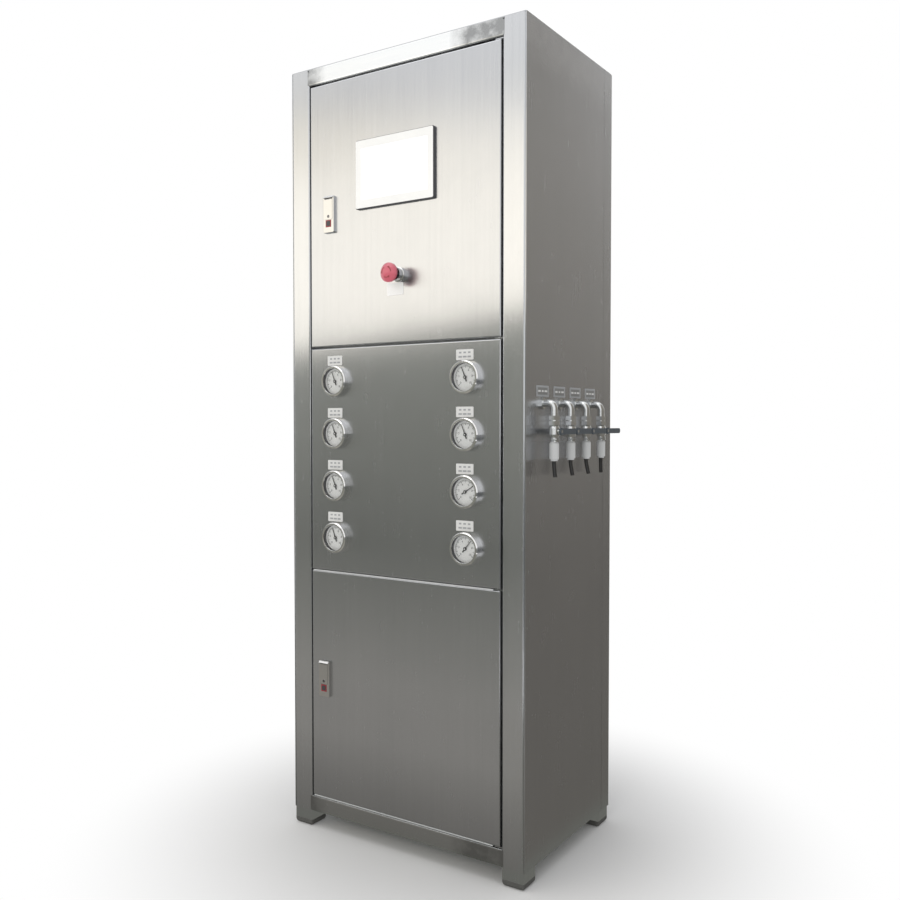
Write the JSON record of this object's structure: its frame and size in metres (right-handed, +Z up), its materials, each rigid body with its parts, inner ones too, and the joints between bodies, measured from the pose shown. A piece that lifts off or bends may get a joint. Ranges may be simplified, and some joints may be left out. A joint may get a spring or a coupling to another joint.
{
  "type": "laboratory water purifier",
  "caption": "Floor-standing stainless cabinet that purifies water, with a touch screen door, pressure gauges, latched doors and valved sample outlets on its side.",
  "frame": {"origin": "on the floor, under the middle of the whole object with its outlets and rear fittings", "axes": "+Z up, -Y towards the front with the doors, +X towards the side with the outlets"},
  "size_m": [0.6458, 0.472, 1.7],
  "materials": {
    "brushed_steel": "satin brushed stainless sheet",
    "frame_steel": "satin brushed stainless tube",
    "polished_chrome": "polished chrome plate",
    "nickel_brass": "bright nickel plate",
    "foot_rubber": "matt moulded rubber",
    "gasket_rubber": "matt foamed rubber",
    "red_plastic": "glossy red plastic",
    "button_red": "dark red plastic",
    "white_plastic": "glossy white plastic",
    "light_grey_plastic": "matt light grey plastic",
    "dark_plastic": "matt black plastic",
    "lever_plastic": "matt dark blue-grey sleeve",
    "screen_glass": "lit white screen",
    "clear_glass": "clear window",
    "dial_white": "white enamel",
    "pointer_black": "black enamel",
    "tube_black": "black polyethylene tube",
    "zinc_plate": "light grey enamel",
    "duct_grey": "grey slotted duct",
    "bowl_blue": "glossy blue plastic",
    "vessel_white": "white glass-fibre tube",
    "pump_paint": "dark grey enamel",
    "pipe_white": "white plastic pipe"
  },
  "bodies": {
    "cabinet": {"frame_posts": "frame_steel", "frame_rails": "frame_steel", "foot_caps": "foot_rubber", "door_stops": "brushed_steel", "left_side_panel": "brushed_steel", "right_side_panel": "brushed_steel", "rear_panel": "brushed_steel", "rear_fittings": "nickel_brass", "top_panel": "brushed_steel", "base_tray": "brushed_steel", "inner_shelves": "brushed_steel", "hinge_pintles": "brushed_steel", "gauge_panel": "brushed_steel", "gauge_cases": "polished_chrome", "gauge_dials": "dial_white", "gauge_lenses": "clear_glass", "outlet_elbows": "nickel_brass", "outlet_valve_bodies": "nickel_brass", "outlet_connectors": "white_plastic", "outlet_tubes": "tube_black", "electrical_plate": "zinc_plate", "wiring_ducts": "duct_grey", "control_modules": "light_grey_plastic", "prefilter_heads": "dark_plastic", "prefilter_bowls": "bowl_blue", "ro_vessels": "vessel_white", "polishing_columns": "vessel_white", "column_struts": "brushed_steel", "booster_pump": "pump_paint", "pipework": "pipe_white"},
    "upper_door": {"upper_door": "brushed_steel", "upper_door_gasket": "gasket_rubber", "upper_latch_housing": "polished_chrome", "screen_housing": "white_plastic", "screen_glass": "screen_glass", "estop_collar": "polished_chrome", "estop_contact_block": "dark_plastic"},
    "lower_door": {"lower_door": "brushed_steel", "lower_door_gasket": "gasket_rubber", "lower_latch_housing": "polished_chrome"},
    "estop_plunger": {"estop_stem": "dark_plastic"},
    "estop_knob": {"estop_head": "red_plastic"},
    "upper_latch_paddle": {"upper_latch_paddle": "polished_chrome"},
    "upper_latch_button": {"upper_latch_button": "button_red"},
    "upper_latch_bolt": {"upper_latch_bolt": "brushed_steel"},
    "lower_latch_paddle": {"lower_latch_paddle": "polished_chrome"},
    "lower_latch_button": {"lower_latch_button": "button_red"},
    "lower_latch_bolt": {"lower_latch_bolt": "brushed_steel"},
    "gauge_pointer_1": {"gauge_pointer_1": "pointer_black"},
    "gauge_pointer_2": {"gauge_pointer_2": "pointer_black"},
    "gauge_pointer_3": {"gauge_pointer_3": "pointer_black"},
    "gauge_pointer_4": {"gauge_pointer_4": "pointer_black"},
    "gauge_pointer_5": {"gauge_pointer_5": "pointer_black"},
    "gauge_pointer_6": {"gauge_pointer_6": "pointer_black"},
    "gauge_pointer_7": {"gauge_pointer_7": "pointer_black"},
    "gauge_pointer_8": {"gauge_pointer_8": "pointer_black"},
    "outlet_lever_1": {"outlet_lever_1": "lever_plastic"},
    "outlet_lever_2": {"outlet_lever_2": "lever_plastic"},
    "outlet_lever_3": {"outlet_lever_3": "lever_plastic"},
    "outlet_lever_4": {"outlet_lever_4": "lever_plastic"}
  },
  "joints": [
    {"name": "upper_door_hinge", "type": "hinge", "parent": "cabinet", "child": "upper_door", "pos_m": [0.2136, -0.1805, 1.37125], "axis": [0, 0, 1], "range_deg": [0, 115]},
    {"name": "upper_latch_lift", "type": "hinge", "parent": "upper_door", "child": "upper_latch_paddle", "pos_m": [-0.2109, -0.192, 1.40425], "axis": [-1, 0, 0], "range_deg": [0, 40]},
    {"name": "upper_latch_press", "type": "slide", "parent": "upper_door", "child": "upper_latch_button", "axis": [0, 1, 0], "range_m": [0, 0.003], "stiffness_N_per_m": 400},
    {"name": "upper_latch_bolt_slide", "type": "slide", "parent": "upper_door", "child": "upper_latch_bolt", "axis": [1, 0, 0], "range_m": [0, 0.018]},
    {"name": "lower_door_hinge", "type": "hinge", "parent": "cabinet", "child": "lower_door", "pos_m": [0.2136, -0.1805, 0.3305], "axis": [0, 0, 1], "range_deg": [0, 115]},
    {"name": "lower_latch_lift", "type": "hinge", "parent": "lower_door", "child": "lower_latch_paddle", "pos_m": [-0.2289, -0.192, 0.377], "axis": [-1, 0, 0], "range_deg": [0, 40]},
    {"name": "lower_latch_press", "type": "slide", "parent": "lower_door", "child": "lower_latch_button", "axis": [0, 1, 0], "range_m": [0, 0.003], "stiffness_N_per_m": 400},
    {"name": "lower_latch_bolt_slide", "type": "slide", "parent": "lower_door", "child": "lower_latch_bolt", "axis": [1, 0, 0], "range_m": [0, 0.018]},
    {"name": "estop_press", "type": "slide", "parent": "upper_door", "child": "estop_plunger", "axis": [0, 1, 0], "range_m": [0, 0.006], "stiffness_N_per_m": 600},
    {"name": "estop_twist", "type": "hinge", "parent": "estop_plunger", "child": "estop_knob", "pos_m": [-0.0229, -0.216, 1.22525], "axis": [0, 1, 0], "range_deg": [0, 45], "stiffness_Nm_per_rad": 0.05},
    {"name": "gauge_pointer_1_turn", "type": "hinge", "parent": "cabinet", "child": "gauge_pointer_1", "pos_m": [-0.1949, -0.193, 1.007], "axis": [0, 1, 0], "range_deg": [-113, 157]},
    {"name": "gauge_pointer_2_turn", "type": "hinge", "parent": "cabinet", "child": "gauge_pointer_2", "pos_m": [-0.1949, -0.193, 0.8925], "axis": [0, 1, 0], "range_deg": [-113, 157]},
    {"name": "gauge_pointer_3_turn", "type": "hinge", "parent": "cabinet", "child": "gauge_pointer_3", "pos_m": [-0.1949, -0.193, 0.778], "axis": [0, 1, 0], "range_deg": [-113, 157]},
    {"name": "gauge_pointer_4_turn", "type": "hinge", "parent": "cabinet", "child": "gauge_pointer_4", "pos_m": [-0.1949, -0.193, 0.6635], "axis": [0, 1, 0], "range_deg": [-113, 157]},
    {"name": "gauge_pointer_5_turn", "type": "hinge", "parent": "cabinet", "child": "gauge_pointer_5", "pos_m": [0.1431, -0.193, 1.007], "axis": [0, 1, 0], "range_deg": [-113, 157]},
    {"name": "gauge_pointer_6_turn", "type": "hinge", "parent": "cabinet", "child": "gauge_pointer_6", "pos_m": [0.1431, -0.193, 0.8925], "axis": [0, 1, 0], "range_deg": [-113, 157]},
    {"name": "gauge_pointer_7_turn", "type": "hinge", "parent": "cabinet", "child": "gauge_pointer_7", "pos_m": [0.1431, -0.193, 0.778], "axis": [0, 1, 0], "range_deg": [-193, 77]},
    {"name": "gauge_pointer_8_turn", "type": "hinge", "parent": "cabinet", "child": "gauge_pointer_8", "pos_m": [0.1431, -0.193, 0.6635], "axis": [0, 1, 0], "range_deg": [-175, 95]},
    {"name": "outlet_lever_1_turn", "type": "hinge", "parent": "cabinet", "child": "outlet_lever_1", "pos_m": [0.3189, -0.122, 0.899], "axis": [-1, 0, 0], "range_deg": [0, 90]},
    {"name": "outlet_lever_2_turn", "type": "hinge", "parent": "cabinet", "child": "outlet_lever_2", "pos_m": [0.3189, -0.0485, 0.899], "axis": [-1, 0, 0], "range_deg": [0, 90]},
    {"name": "outlet_lever_3_turn", "type": "hinge", "parent": "cabinet", "child": "outlet_lever_3", "pos_m": [0.3189, 0.025, 0.899], "axis": [-1, 0, 0], "range_deg": [0, 90]},
    {"name": "outlet_lever_4_turn", "type": "hinge", "parent": "cabinet", "child": "outlet_lever_4", "pos_m": [0.3189, 0.0985, 0.899], "axis": [-1, 0, 0], "range_deg": [0, 90]}
  ],
  "couplings": [
    {"joint": "upper_latch_lift", "follows": "upper_latch_bolt_slide", "rad_per_m": 38.785},
    {"joint": "lower_latch_lift", "follows": "lower_latch_bolt_slide", "rad_per_m": 38.785}
  ]
}
